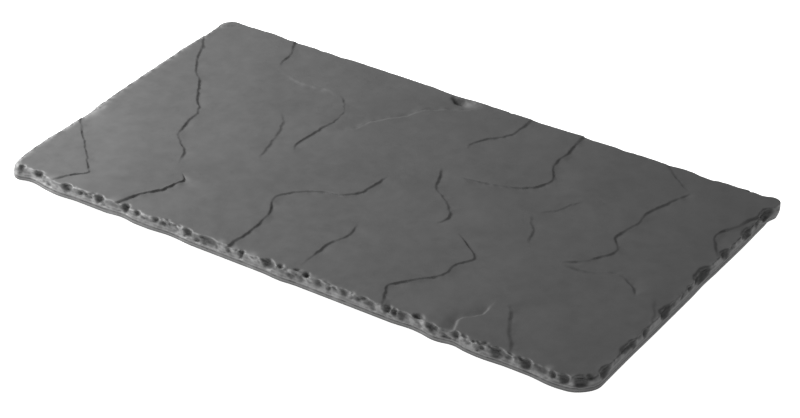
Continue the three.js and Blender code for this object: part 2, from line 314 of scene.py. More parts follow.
# The slab, in millimetres. Four values are those at the front, right, back and left, and a waver has its
# strength, wave and seed.
slabShape = {
    "length": 300, "width": 160, "thickness": 7, "rimStep": 0.56,
    "cornerRadii": (10, 5, 7, 6),  # front right, back right, back left, front left
    "trim": 0.08,  # how far the rim is drawn in all round
    "lowerRounding": 0.65, "lowerSteps": 6,
    "strip": [  # inset and height
        (0, 1.5), (0.02, 1.75), (0.2, 1.92), (0.24, 2.24), (0.03, 2.44), (0.03, 2.62),
    ],
    "grooveInset": 0.1,  # beyond which the strip is toned as a groove
    "wander": [(0.25, 11, 9), (0.08, 3, 11)],  # how the strip's upper line strays
    "wanderRise": 0.3,  # share of it that each row of the strip adds
    "shoulder": [(0.1, 2.82), (0.24, 2.98), (0.44, 3.1), (0.62, 3.3)],  # the step above the strip
    "dressedInset": 0.8, "dressedSteps": 6,  # the chipped rim up to the crown
    "dressedFace": 0.4,  # share of its height above which it isn't toned as the step
    "stepDepth": (0.7, 0.3, 0.2, 0.25),  # share of those insets
    "crown": (1, 0.6, 1.1, 1.2), "crownSteps": 6,  # radius of the upper edge
    "crownLie": 0.5,  # share of the top's relief that its foot follows
    "crownFoot": 0.6,  # turn up to which it is toned as the foot, in radians
    "dubbed": (-148.7, 9, 2.2),  # where it is rounder at the front, the reach and how much
    "axis": (2.2, 1.8),  # how far in and down from the crown's middle lies the line that chips are cut to
    "cutShare": 0.7,  # most of the way to that line
    "cutStart": (0.3, 0.6, 0.85),  # share of the chips' depth in the lowest rows
    "easing": (0.12, 0.2, 0.1, 0.1),  # how gently the chips set in
    "knob": {  # where the rim of the back edge stands out plumb
        "place": 150.5, "reach": 11, "fill": 0.7, "undercut": 1.3, "height": 4.5, "curve": 1.5,
    },
    "band": 7.6, "bandSteps": 12, "bandCurve": 1.4,  # how far in the rim's rows reach on the top face
    "cornerBand": (1.6, 2.9),  # how much less than its radius they reach at a corner, and at least
    "bandBlend": 6,  # way along the rim over which that changes
    "undulation": 0.18, "lulls": [(0.5, 42, 3), (0.3, 13, 5)],  # of the top face, always downwards
    "mottle": [(1.3, 2.8, 13), (0.9, 1.3, 15)],  # of the rim's glaze
    "rowPaleness": {"strip": 0.1, "shoulder": 0.9, "dressed": 0.7, "crown": 1, "band": 1.3},
    "bandFade": 10,  # how often the band's paleness halves
    "paleEdge": 4,  # how sharply paleness ends where painted shade lies
    "glazeBreakAndLight": {  # paleness, partly glaze breaking over the edges and partly painted light that differs from side to side with the lamps
        "strip": (0.45, 0.1, 0.2, 0.1), "step": (0.45, 0, 0.2, 0.1), "face": (0.42, 0, 0.2, 0.15),
        "foot": (0.42, 0, 0.2, 0.2), "crown": (0.36, 0.35, 0.3, 0.8), "top": (0.05, 0.1, 0.05, 1),
    },
    "paintedShade": {  # painted shade
        "groove": (1, 0.2, 0, 0), "face": (0.5, 0.5, 0, 0), "foot": (0.5, 0.7, 0, 0),
        "crown": (0.25, 0, 0, 0),
    },
    "paintedHighlights": [  # painted highlights: place, reach and strength
        (-6, 75.4, 3.2, 0.4), (-148, -26, 3.5, 0.3), (-148, -19, 3, 0.25),
        (-126, -79, 2.6, 0.2), (-92, -78.5, 2.6, 0.2), (-53.5, -78.2, 1.3, 0.35), (-32.5, -78, 1.8, 0.35),
        (-25, -77.8, 1.4, 0.25), (-16, -78.3, 2.2, 0.4), (16, -78.6, 1.8, 0.25), (20.5, -78, 1.2, 0.3),
        (28, -79.2, 1.4, 0.25), (36, -78.3, 1.2, 0.3), (71, -78.2, 1.5, 0.3), (83.5, -78.4, 1.4, 0.25),
        (114, -77.8, 2.2, 0.2), (130.5, -77.8, 1.6, 0.25), (141.5, -78, 1.4, 0.2),
    ],
    # painted shade in the pit at the back: place, reach and strength
    "paintedPitShade": [(-12.8, 75.7, 2.6, 1.1), (-10.6, 76.8, 1.5, 0.5)],
    "sharpAngle": 62,  # degrees
}

# Bulges and hollows of the outline: place along the edge, how far the rim swells out and the reach
rimSwells = {
    "front": [
        (-148.5, 0.9, 8), (-138, -1.2, 9), (-122, 0.8, 11), (-87, -1, 9), (-60, -0.9, 13), (-1, 0.6, 9),
        (65, -0.7, 10), (77, 0.7, 7), (86, -0.6, 6), (99, 0.7, 13), (133, 1, 12),
    ],
    "right": [(-78, -0.7, 9), (-50, -0.2, 25), (14, -0.3, 12), (45, 0.2, 20)],
    "back": [
        (150.5, 2.4, 8), (136, 0.7, 7), (127, 0.4, 6), (104, 0.7, 9), (114, -0.6, 7), (74, -0.6, 6),
        (51, 0.4, 7), (-18, -0.7, 12), (-83, -0.6, 11), (-112, -0.6, 6), (-122, 0.4, 7),
    ],
    "left": [(15, 0.7, 62), (46, 0.5, 8), (-26, -0.4, 9), (-58, 0.9, 22)],
}

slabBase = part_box("slab")[0].z / mm
topFace = slabShape["thickness"]
halfLength, halfWidth = slabShape["length"] / 2, slabShape["width"] / 2
radii = slabShape["cornerRadii"]
edgeNames = ("front", "right", "back", "left")
rimSides = []  # straight and corner radius of each side, anticlockwise from the front edge
for side, radius in enumerate(radii):
    span = slabShape["length"] if side % 2 == 0 else slabShape["width"]
    rimSides.append((span - radii[side - 1] - radius, radius))
sideLengths = [straight + radius * math.pi / 2 for straight, radius in rimSides]
rimLength = sum(sideLengths)
sideStarts = [sum(sideLengths[:side]) for side in range(4)]


# Distance along the rim of a place on one of the edges
def onEdge(edge, place):
    side = edgeNames.index(edge)
    forward = place if side < 2 else -place
    half = halfLength if side % 2 == 0 else halfWidth
    return sideStarts[side] + half + forward - radii[side - 1]


# Points of the nominal outline, the directions out of the plate there and the corner's radius or 0
def rimPlaces(along):
    rest = np.mod(along, rimLength)
    points = np.tile([radii[3] - halfLength, -halfWidth], (len(rest), 1)).astype(float)
    outs = np.zeros_like(points)
    corner = np.zeros(len(rest))
    for side, (straight, radius) in enumerate(rimSides):
        heading = side * math.pi / 2
        ahead = np.array([math.cos(heading), math.sin(heading)])
        left = np.array([-ahead[1], ahead[0]])
        here = (rest > 0) | (side == 0)
        turned = np.clip((rest - straight) / radius, 0, math.pi / 2)
        forward = np.minimum(rest, straight) + radius * np.sin(turned)
        points += np.where(here, forward, 0)[:, None] * ahead
        points += np.where(here, radius * (1 - np.cos(turned)), 0)[:, None] * left
        facing = np.stack([np.sin(heading + turned), -np.cos(heading + turned)], 1)
        outs = np.where(here[:, None], facing, outs)
        corner = np.where(here & (rest > straight) & (rest <= sideLengths[side]), radius, corner)
        rest = rest - sideLengths[side]
    return points, outs, corner


def apart(along, place):  # the shorter way round
    return np.mod(along - place + rimLength / 2, rimLength) - rimLength / 2


def swellAt(along):
    total = np.zeros_like(along)
    for edge, rows in rimSwells.items():
        for place, swell, reach in rows:
            away = apart(along, onEdge(edge, place))
            total += swell * (1 + np.cos(math.pi * np.clip(away / reach, -1, 1))) / 2
    return total


def smooth(share):
    share = np.clip(share, 0, 1)
    return share * share * (3 - 2 * share)


def waver(places, wave, seed):
    flat = np.pad(np.asarray(places, float), ((0, 0), (0, 3 - np.shape(places)[1])))
    shift = Vector((seed * 7.31, seed * 3.17, seed * 5.73))
    return np.array([noise.noise(Vector(place) / wave + shift) for place in flat])


def wavers(places, rows, total=0, number=0):
    for strength, wave, seed in rows:
        total = total + strength * waver(places, wave, seed + number)
    return total


# Clefts of the top face. The ground drops on the left of each run of points: by depth over the wall's width,
# and it climbs back over the run. Over a fade the cleft dies out; an end without one runs out past the rim.
cleftShape = {
    "step": 0.8,
    "jags": [(1.1, 6.5, 1), (0.5, 2.4, 40)], "jagCurve": 3,  # calmer where the line runs across
    "evenShare": 0.95, "uneven": [(0.7, 8, 80), (0.5, 3, 120)], "unevenRange": (-0.45, 0.35),
    "calm": 3,  # how far past the wall its unevenness dies out
    "shadeEdge": 1,  # how far past the wall the painted shade fades out
    "shadeLead": 0.5,  # how far before the lip it sets in, in widths of the wall
    "shadePlaces": [(100, -8, 9, 0.65), (34, 22.5, 12, 0.65), (112, -13, 9, 0.35)],  # place, reach and amount
}
clefts = [  # depth, width of the wall, run, fade at the start, fade at the end, points
    (0.5, 1.4, 30, 0, 16, [
        (-156, 67), (-148, 57), (-140, 43), (-133.5, 32.5), (-125.5, 25), (-117.5, 13), (-108, 2),
        (-105.5, -13), (-101.5, -21), (-92, -28.5), (-86, -42)]),
    (0.66, 0.9, 24, 8, 0, [(-82, -43), (-76.5, -48.5), (-78, -53), (-85, -66.5), (-90.5, -78), (-94, -87)]),
    (0.48, 1.1, 22, 0, 0, [
        (-157, -24), (-148, -34), (-132, -50), (-118, -64), (-116.5, -66), (-121, -71), (-125, -78),
        (-131, -87)]),
    (0.48, 1.3, 22, 0, 10, [(-113, 87), (-108, 76), (-103, 67), (-102.5, 59), (-99, 53)]),
    (0.36, 2, 16, 14, 10, [(-59, 49), (-67, 51), (-81, 49), (-99, 53)]),
    (0.42, 1.4, 24, 8, 14, [
        (-62, 49.5), (-56, 44.5), (-52, 38), (-51.5, 29), (-52.5, 13), (-53, 5), (-50, -7)]),
    (0.3, 1.6, 18, 12, 12, [(-76, 23), (-68, 12), (-63.5, -2), (-59.5, -14.5), (-56, -21)]),
    (0.7, 2.2, 24, 10, 10, [(-48, 19), (-37, 28), (-35, 35), (-25, 49.5), (-20, 58), (-4, 69.5), (3, 75)]),
    (0.54, 1.3, 30, 6, 0, [
        (-3.5, 4), (-4.3, -6), (-6, -13), (-11, -19), (-20, -22), (-29, -28), (-35, -37.5), (-30, -47),
        (-28, -65), (-29, -78), (-30, -89)]),
    (0.42, 1.5, 22, 8, 6, [(11, 23), (16, 14.5), (20, 6.5), (29.5, 0), (34, -4.5), (37, -11), (35.5, -18)]),
    (0.46, 1.3, 22, 0, 8, [(26, 91), (24.5, 77), (23, 62), (15, 52), (12.5, 47), (14, 41)]),
    (0.5, 1.3, 24, 0, 8, [
        (51, 91), (51.5, 79), (53, 61), (53, 52), (58.7, 39), (57.5, 35), (44, 25), (36, 23), (21, 20)]),
    (0.26, 1.5, 18, 6, 10, [(65, 12), (69, 7), (72.5, 2), (75, -4), (78.5, -11)]),
    (0.25, 1.5, 16, 8, 8, [(80, 35), (76, 28.5), (73.5, 22.5), (67, 13)]),
    (0.28, 1.2, 18, 0, 8, [(91, 89), (97, 77), (107.5, 68), (114, 63)]),
    (0.4, 1.4, 26, 6, 8, [
        (115, 65), (111, 55), (107, 38), (107.7, 30), (104.3, 17), (110.3, 8), (106, -1.5), (95, -13)]),
    (0.42, 1.6, 16, 8, 6, [(97, -14.5), (108, -14), (121, -8), (130, -13), (135, -19)]),
    (0.3, 1.4, 14, 8, 0, [(140, -13), (145, -22), (149, -31), (157, -45)]),
    (0.5, 1, 16, 5, 6, [(149.5, 73), (147.5, 64), (145, 54), (140, 40), (142, 35.5), (148.5, 26)]),
    (0.6, 1.4, 8, 0, 14, [(87, -89), (85.5, -78), (84.5, -68), (88, -64), (89, -49)]),
    (0.42, 2, 20, 6, 0, [(92, -49), (98.5, -58), (103, -65), (111, -78), (117, -89)]),
    (0.52, 1.3, 28, 10, 0, [
        (46, -17), (55, -22.5), (63, -30), (60, -37), (59.5, -45), (49, -59), (45, -65), (50, -78),
        (54, -89)]),
    (0.4, 1.3, 20, 10, 16, [(7, -33), (9, -43), (6, -56), (5.5, -68), (7, -77)]),
]


# A smooth line through the points, at even steps
def smoothLine(points, step):
    points = np.array(points, float)
    marks = np.concatenate([[0], np.cumsum(np.linalg.norm(np.diff(points, axis=0), axis=1))])
    slopes = np.gradient(points, marks, axis=0)
    steps = np.linspace(0, marks[-1], int(marks[-1] / step) + 2)
    span = np.clip(np.searchsorted(marks, steps, side="right") - 1, 0, len(points) - 2)
    width = (marks[span + 1] - marks[span])[:, None]
    share = (steps[:, None] - marks[span][:, None]) / width
    start, end = points[span], points[span + 1]
    bend = share * (1 - share)
    straight = start + (end - start) * smooth(share)
    return steps, straight + width * bend * (slopes[span] * (1 - share) - slopes[span + 1] * share)


def traceCleft(number, depth, wall, run, fadeIn, fadeOut, points):
    steps, line = smoothLine(points, cleftShape["step"])
    chord = line[-1] - line[0]
    ahead = chord / np.linalg.norm(chord)
    fall = np.array([-ahead[1], ahead[0]])
    flat = steps[:, None]
    heading = np.gradient(line, axis=0)
    onward = np.clip(heading @ ahead / np.linalg.norm(heading, axis=1), 0, 1)
    jag = wavers(flat, cleftShape["jags"], 0, number) * onward ** cleftShape["jagCurve"]
    strength = np.ones_like(steps)
    if fadeIn:
        strength *= smooth(steps / fadeIn)
    if fadeOut:
        strength *= smooth((steps[-1] - steps) / fadeOut)
    uneven = np.clip(wavers(flat, cleftShape["uneven"], 0, number), *cleftShape["unevenRange"])
    line = line + jag[:, None] * fall
    return {
        "line": line, "ahead": ahead, "fall": fall, "along": line @ ahead, "across": line @ fall,
        "strength": strength, "uneven": uneven, "depth": depth, "wall": wall, "run": run,
    }


cleftTraces = [traceCleft(number, *row) for number, row in enumerate(clefts)]


# How far past a cleft's lip places lie, and the cleft's strength there
def pastLip(trace, places):
    along = places @ trace["ahead"]
    across = places @ trace["fall"] - np.interp(along, trace["along"], trace["across"])
    strength = np.interp(along, trace["along"], trace["strength"], left=0, right=0)
    calm = smooth((across - trace["wall"]) / cleftShape["calm"])
    uneven = np.interp(along, trace["along"], trace["uneven"]) * (1 - calm)
    return across, strength * (cleftShape["evenShare"] + uneven)


# How far the top face lies below its highest level
def reliefAt(places):
    drop = np.zeros(len(places))
    for trace in cleftTraces:
        wall = trace["wall"]
        across, strength = pastLip(trace, places)
        climb = 1 - smooth((across - wall) / (trace["run"] - wall))
        drop = np.maximum(drop, trace["depth"] * strength * smooth(across / wall) * climb)
    return drop + slabShape["undulation"] * np.clip(wavers(places, slabShape["lulls"], 0.5), 0, 1)


# Strength of soft patches: each has its place, reach and strength there
def patchesAt(places, patches):
    total = np.zeros(len(places))
    for x, y, reach, strength in patches:
        total += strength * np.exp(-np.sum((places - [x, y]) ** 2, axis=1) / reach ** 2)
    return total


# How much painted shade lies on the clefts' walls
def cleftShadeAt(places):
    shadeMask = np.zeros(len(places))
    for trace in cleftTraces:
        across, strength = pastLip(trace, places)
        lead = smooth(across / trace["wall"] + cleftShape["shadeLead"])
        past = smooth((across - trace["wall"]) / cleftShape["shadeEdge"])
        shadeMask = np.maximum(shadeMask, strength * lead * (1 - past))
    return shadeMask * patchesAt(places, cleftShape["shadePlaces"])


# Points of the top face: rows along the clefts and a jittered grid between them
topMesh = {
    "faint": 0.02,  # strength below which a cleft gets no rows
    "before": (-0.9, -0.25), "onWall": (0, 0.25, 0.5, 0.75, 1), "past": (0.3, 1.2, 3),  # rows of a cleft
    "clear": (-1.6, 2.2),  # how far before the lip and past the wall the grid keeps off
    "gridStep": 2.8, "gridJitter": 0.9, "rimGap": 0.9, "leastGap": 0.12, "seed": 4,
}


# Those points inside a ring
def topPlaces(ring):
    rng = np.random.default_rng(topMesh["seed"])
    step = topMesh["gridStep"]
    rows = []
    for trace in cleftTraces:
        wall = trace["wall"]
        kept = trace["line"][trace["strength"] > topMesh["faint"]]
        offsets = [share * wall for share in topMesh["onWall"]] + [wall + past for past in topMesh["past"]]
        rows += [kept + offset * trace["fall"] for offset in [*topMesh["before"], *offsets]]
    columns, lines = int(2 * halfLength / step), int(2 * halfWidth / step)
    grid = np.stack(np.meshgrid(np.arange(columns + 1), np.arange(lines + 1)), -1).reshape(-1, 2) * step
    grid = grid - [halfLength, halfWidth] + rng.uniform(-1, 1, grid.shape) * topMesh["gridJitter"]
    near = np.zeros(len(grid), bool)
    before, past = topMesh["clear"]
    for trace in cleftTraces:
        across, strength = pastLip(trace, grid)
        near |= (strength > topMesh["faint"]) & (across > before) & (across < trace["wall"] + past)
    places = np.concatenate(rows + [grid[~near]])
    inside = np.zeros(len(places), bool)
    for (ax, ay), (bx, by) in zip(ring, np.roll(ring, -1, axis=0)):
        crossed = (ay > places[:, 1]) != (by > places[:, 1])
        if crossed.any():
            inside ^= crossed & (places[:, 0] < (bx - ax) * (places[:, 1] - ay) / (by - ay + 1e-12) + ax)
    places = places[inside]
    gap = np.min([np.hypot(*(places - spot).T) for spot in ring[::2]], axis=0)
    places = places[gap > topMesh["rimGap"]]
    cells = np.round(places / topMesh["leastGap"]).astype(int)
    return places[np.sort(np.unique(cells, axis=0, return_index=True)[1])]


# Chips of the rim: place along the edge, way up the section from the strip, width, height and depth
rimChips = {
    "front": [
        (-143.6, 4.7, 3.2, 3.6, 1.1), (-143, 2.5, 3, 1.8, 0.5), (-134.2, 3.2, 6, 4.6, 1.3),
        (-129.8, 3.4, 2.4, 3, 0.6), (-116.5, 3.2, 5.6, 4, 1.2), (-109.6, 2.5, 3, 2.4, 0.8),
        (-105.8, 2.7, 2.6, 2, 0.4), (-103, 4.1, 2.4, 1.6, 0.4), (-98.4, 3.4, 5.6, 4.8, 1.3),
        (-84.6, 3.1, 4.6, 6.6, 1.6), (-77.2, 3.3, 3.8, 4, 0.9), (-72, 2.6, 2.6, 2, 0.4),
        (-67.8, 3.4, 3.6, 3.6, 1), (-63, 2.5, 4.4, 2.4, 0.6), (-59.6, 3.8, 2.2, 2.2, 0.6),
        (-57.2, 3.7, 2, 2, 0.5), (-55.5, 2.4, 2.2, 1.8, 0.4), (-50, 3.3, 6, 4.2, 1.2),
        (-44.6, 1.8, 4.4, 2.2, 0.7), (-38.6, 3, 10, 6.5, 0.9), (-40, 1.4, 2.6, 1.8, 0.5),
        (-33.6, 1.6, 2.4, 2.2, 0.5), (-28, 2, 3, 2.4, 0.6), (-23.6, 4.5, 2.6, 3, 0.8),
        (-21, 3.4, 3.2, 6.6, 1.2), (-13, 3.9, 2.4, 2.6, 0.6), (-7, 3.7, 7.8, 7, 1.6),
        (-0.3, 5.4, 2.8, 2.2, 0.7), (2.4, 2.3, 2.6, 2.2, 0.4), (5.4, 1.6, 4.4, 2.4, 0.6),
        (7.5, 6.4, 4.2, 2.2, 0.6), (10.7, 2.3, 3, 2.8, 0.6), (12.5, 5.5, 3.2, 3.4, 1),
        (19, 2.6, 7, 6, 0.6), (24.5, 2.3, 2.2, 2.4, 0.6), (28.5, 3.2, 2.6, 1.8, 0.35),
        (32, 3.3, 4.6, 4.4, 0.9), (36, 2.2, 2, 2, 0.5), (41.5, 3.9, 5, 2.8, 0.9),
        (45.5, 2.4, 6, 4, 0.5), (47.4, 1.1, 2.4, 1.6, 0.4), (53.4, 3.8, 3.8, 8, 1.5),
        (57, 3.4, 3.2, 6.4, 1.2), (61.2, 3, 7, 7, 0.8), (67.8, 5.9, 5.4, 3.6, 1.1),
        (75.5, 3.1, 7.6, 5.2, 1.2), (86.5, 3.4, 3.8, 4.8, 1), (91.5, 5.1, 3.2, 2, 0.6),
        (96, 4.8, 1.8, 1.6, 0.6), (97.6, 5.4, 1.7, 1.5, 0.6), (98.9, 4.8, 1.6, 1.6, 0.6),
        (101, 6.2, 2, 1.5, 0.6), (100.4, 4.6, 1.8, 1.5, 0.5), (103.2, 5.2, 1.7, 1.6, 0.5),
        (100, 2.5, 3.6, 3, 0.7), (107.5, 3.4, 7, 7, 1.2), (112.5, 2.2, 3.6, 2.4, 0.5),
        (118, 4.6, 3.4, 3.4, 0.8), (120.4, 2.7, 5.4, 5.4, 1.5), (127.4, 3, 7, 7, 0.7),
        (133.3, 3, 3.2, 5, 1.1), (138.6, 3.2, 5, 5.8, 1.3), (145.8, 2.8, 6.6, 6.5, 1.4),
        (150.5, 4.6, 4.4, 4.6, 1.1),
    ],
    "right": [
        (-67, 2.9, 8.4, 5, 1.1), (-50, 3.9, 9, 5.4, 1.1), (-45, 2.7, 6.4, 4.4, 1),
        (-39.6, 2.8, 3, 2.6, 0.5), (-35.4, 2.5, 4.8, 3.6, 0.8), (-18.6, 3.2, 9.4, 6.2, 1.3),
        (-12.5, 3.2, 5, 2.6, 0.5), (-5, 2.4, 3.6, 2.6, 0.4), (1.5, 2.6, 4, 3.6, 0.8),
        (12.6, 3.6, 14, 7.8, 1.5), (15.5, 2.6, 8.4, 4.8, 1.2), (32, 3.2, 7.6, 6, 1.2),
        (38, 2.8, 5, 2.4, 0.4), (51, 2.7, 9.4, 5.6, 1.2), (57, 3.4, 4, 2.6, 0.6),
        (60, 2.5, 5, 3.4, 0.7), (68, 2.4, 9, 5.4, 1.3),
    ],
    "back": [
        (139, 2.8, 7, 2.6, 0.5), (129, 2.4, 5, 2.2, 0.4), (116, 2.9, 7, 2.6, 0.5), (106, 2.6, 5, 2.4, 0.4),
        (93, 2.8, 8, 2.6, 0.5), (77, 2.6, 6, 2.6, 0.5), (66, 2.8, 5, 2.2, 0.4), (55, 2.6, 6, 2.6, 0.5),
        (44, 2.7, 5, 2.4, 0.4), (29, 2.9, 7, 2.6, 0.5), (16, 2.6, 6, 2.4, 0.4), (4, 2.8, 6, 2.6, 0.5),
        (-11.6, 7.9, 12, 6.4, 1.8), (-6, 7.2, 9, 5.5, 1), (-4, 6.4, 8, 4.5, 0.6),
        (-25, 2.8, 6, 2.6, 0.5), (-38, 2.6, 6, 2.4, 0.4), (-51, 2.8, 7, 2.6, 0.5),
        (-65, 2.6, 6, 2.4, 0.4), (-79, 2.8, 5, 2.2, 0.4), (-93, 3, 9, 2.8, 0.6),
        (-106, 2.8, 7, 2.8, 0.5), (-126, 2.6, 6, 2.6, 0.5), (-138, 2.8, 7, 2.8, 0.5),
    ],
    "left": [
        (73, 2.8, 6, 2.6, 0.5), (63, 3, 7, 2.8, 0.5), (48, 2.8, 6, 2.6, 0.5), (37, 2.6, 5, 2.2, 0.4),
        (23, 3, 7, 2.8, 0.5), (9, 2.8, 6, 2.4, 0.4), (-5, 3, 8, 2.8, 0.5), (-23, 4.4, 13, 4.4, 0.7),
        (-32, 2.8, 7, 2.6, 0.5), (-46, 2.8, 6, 2.6, 0.5), (-59, 3, 8, 3, 0.6),
    ],
}

chipShape = {
    "bulge": 1.8,  # radius of a scoop in depths
    "lift": 0.3,  # how much more than the surface a scoop leans back, in radians
    "twist": 0.35,  # most that a chip is turned, in radians
    "lower": (0.75, 0.6, 0, 0), "lowest": 0.3,  # how far down from its way a chip is set
    "heighten": (1.05, 1.05, 1, 1), "deepen": (1.6, 1.6, 1, 1),
    "softness": (0.14, 0.15, 0.1, 0.1),  # rounding of the arrises
    "warps": [(0.5, 3.2, 11), (0.3, 1.25, 17)],  # how the scoops are bent out of true
    "margin": 3.5,  # how far past a scoop's ends its cut is looked for
    "flakeGap": (1.6, 5, 3.4, 2.6), "flakeSpread": (0.5, 1.5),  # spacing of the small flakes
    "flakeDepth": (0.6, 0.2, 0.2, 0.22),
    "flakeLeast": (0.4, 1.2, 0.8, 0.5, -0.7),  # way, width, height, share of the depth and turn
    "flakeMost": (4.6, 4, 2.2, 1.4, 0.7),
    "seed": 21,
}


# A value that changes round the corners from that of one side to that of the next
def byFacing(outs, values):
    facing = np.column_stack([-outs[:, 1], outs[:, 0], outs[:, 1], -outs[:, 0]])
    return np.clip(facing, 0, 1) ** 2 @ np.array(values)


# Radius of the upper edge
def crownAt(along, outs):
    place, reach, extra = slabShape["dubbed"]
    dubbed = smooth(1 - np.abs(apart(along, onEdge("front", place))) / reach)
    return byFacing(outs, slabShape["crown"]) + extra * dubbed


# Inset, height and lean of the surface at a way up the section from the strip
def sectionAt(way, crown, step):
    foot, base = slabShape["dressedInset"] * step, slabShape["shoulder"][-1][1]
    upright = topFace - crown - base
    lean = min(max((way - upright) / crown, 0), math.pi / 2)
    inset = foot + crown * (1 - math.cos(lean)) + max(way - upright - crown * math.pi / 2, 0)
    return inset, base + min(way, upright) + crown * math.sin(lean), lean


# A scoop: its place along the rim, its reach, its middle and the matrix that turns it into a ball of radius 1
def newScoop(along, way, width, height, depth, twist):
    at = np.array([along], float)
    points, outs, _ = rimPlaces(at)
    out = outs[0]
    inset, level, lean = sectionAt(way, crownAt(at, outs)[0], byFacing(outs, slabShape["stepDepth"])[0])
    lean = min(lean + chipShape["lift"], math.pi / 2)
    ahead = np.array([-out[1], out[0], 0])
    normal = np.array([*(out * math.cos(lean)), math.sin(lean)])
    rise = np.cross(ahead, -normal)
    radius = chipShape["bulge"] * depth
    spread = math.sqrt(1 - (1 - 1 / chipShape["bulge"]) ** 2)
    middle = np.array([*(points[0] + out * (swellAt(at)[0] - inset)), level]) + normal * (radius - depth)
    turnedAhead = ahead * math.cos(twist) + rise * math.sin(twist)
    turnedRise = rise * math.cos(twist) - ahead * math.sin(twist)
    shrink = np.array([turnedAhead * 2 * spread / width, normal / radius, turnedRise * 2 * spread / height])
    return along, (width + height) / 2 + chipShape["margin"], middle, shrink


def edgeScoops(side):
    shape, edge = chipShape, edgeNames[side]
    rng = np.random.default_rng(shape["seed"] + side)
    scoops = []
    for place, way, width, height, depth in rimChips[edge]:
        twist = rng.uniform(-1, 1) * shape["twist"]
        way = max(way - shape["lower"][side], shape["lowest"])
        tall, deep = height * shape["heighten"][side], depth * shape["deepen"][side]
        scoops.append(newScoop(onEdge(edge, place), way, width, tall, deep, twist))
    place, end = sideStarts[side], sideStarts[side] + rimSides[side][0]
    while place < end:
        way, width, height, share, twist = rng.uniform(shape["flakeLeast"], shape["flakeMost"])
        scoops.append(newScoop(place, way, width, height, share * shape["flakeDepth"][side], twist))
        place += shape["flakeGap"][side] * rng.uniform(*shape["flakeSpread"])
    return scoops


# How far each spot of the rim is cut back along its inward direction
def carveDepth(along, spots, inward):
    missed, deepest = -9, 5
    warped = np.column_stack([wavers(spots, chipShape["warps"], spots[:, axis], axis) for axis in range(3)])
    depth = np.zeros(len(spots))
    for side, soft in enumerate(chipShape["softness"]):
        sums = np.zeros(len(spots))
        for place, reach, middle, shrink in edgeScoops(side):
            near = np.flatnonzero(np.abs(apart(along, place)) < reach)
            start = (warped[near] - middle) @ shrink.T
            ray = inward[near] @ shrink.T
            square = np.sum(ray * ray, axis=1)
            slope = np.sum(start * ray, axis=1)
            outside = np.sum(start * start, axis=1) - 1
            rest = slope * slope - square * outside
            far = (np.sqrt(np.maximum(rest, 0)) - slope) / square
            met = (rest > 0) & ((slope > 0) | (far > 0) & (outside < 0))
            sums[near] += np.exp(np.clip(np.where(met, far, missed), missed, deepest) / soft)
        depth = np.maximum(depth, soft * np.log1p(sums))
    return depth


# Rows of the rim from the underside up and in: inset, height, share of the strip's wander and of the top's
# relief, zone and paleness
def rimRows(crown, depth, reach):
    shape = slabShape
    pale = shape["rowPaleness"]
    none = np.zeros_like(crown)
    rows = []
    for step in range(shape["lowerSteps"] + 1):
        turn = step / shape["lowerSteps"] * math.pi / 2
        inset = shape["lowerRounding"] * (1 - math.sin(turn))
        height = shape["lowerRounding"] * (1 - math.cos(turn))
        rows.append((inset + none, height + none, 0, 0, "strip", 0))
    for step, (inset, height) in enumerate(shape["strip"], 1):
        zone = "groove" if inset > shape["grooveInset"] else "strip"
        rows.append((inset + none, height + none, min(shape["wanderRise"] * step, 1), 0, zone, pale["strip"]))
    for inset, height in shape["shoulder"]:
        rows.append((inset * depth, height + none, 1, 0, "step", pale["shoulder"]))
    start, base = shape["shoulder"][-1]
    foot, lie = shape["dressedInset"] * depth, shape["crownLie"]
    for step in range(1, shape["dressedSteps"] + 1):
        share = step / (shape["dressedSteps"] + 1)
        zone = "face" if share > shape["dressedFace"] else "step"
        height = base + share * (topFace - crown - base)
        inset = start * depth + share * (foot - start * depth)
        rows.append((inset, height, 1 - share, lie * share, zone, pale["dressed"]))
    for step in range(shape["crownSteps"] + 1):
        turn = step / shape["crownSteps"] * math.pi / 2
        zone = "foot" if turn < shape["crownFoot"] else "crown"
        inset = foot + crown * (1 - math.cos(turn))
        height = topFace - crown * (1 - math.sin(turn))
        rows.append((inset, height, 0, lie + (1 - lie) * math.sin(turn), zone, pale["crown"]))
    for step in range(1, shape["bandSteps"] + 1):
        share = (step / shape["bandSteps"]) ** shape["bandCurve"]
        inset = foot + crown + share * (reach - foot - crown)
        rows.append((inset, topFace + none, 0, 1, "top", pale["band"] * 0.5 ** (shape["bandFade"] * share)))
    return rows
